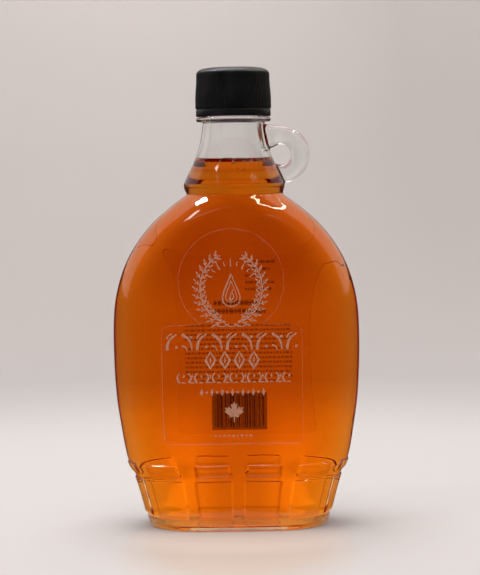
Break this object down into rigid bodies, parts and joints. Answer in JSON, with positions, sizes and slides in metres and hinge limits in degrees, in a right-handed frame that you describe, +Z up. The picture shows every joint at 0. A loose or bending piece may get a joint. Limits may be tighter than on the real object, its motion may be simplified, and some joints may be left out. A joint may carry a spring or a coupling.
{
  "type": "maple syrup jug",
  "caption": "Flat clear glass flask with a finger loop at its neck, full of amber maple syrup, shut by a black screw cap, with clear film labels front and back.",
  "frame": {"origin": "middle of the outer box on the surface that the jug stands on", "axes": "+Z up through the neck, -Y out of the front face, +X towards the finger loop"},
  "size_m": [0.0978, 0.0472, 0.1812],
  "materials": {
    "clear_glass": "clear polished flint glass with a faint grey-green cast at thick edges",
    "amber_syrup": "clear amber syrup, standing in for a liquid",
    "black_cap": "black moulded polypropylene, satin, finely ribbed",
    "clear_film": "thin clear label film with a pale and a dark print"
  },
  "bodies": {
    "root": {"glass_jug": "clear_glass", "maple_syrup": "amber_syrup", "screw_cap": "black_cap", "front_label": "clear_film", "back_label": "clear_film"}
  },
  "joints": []
}
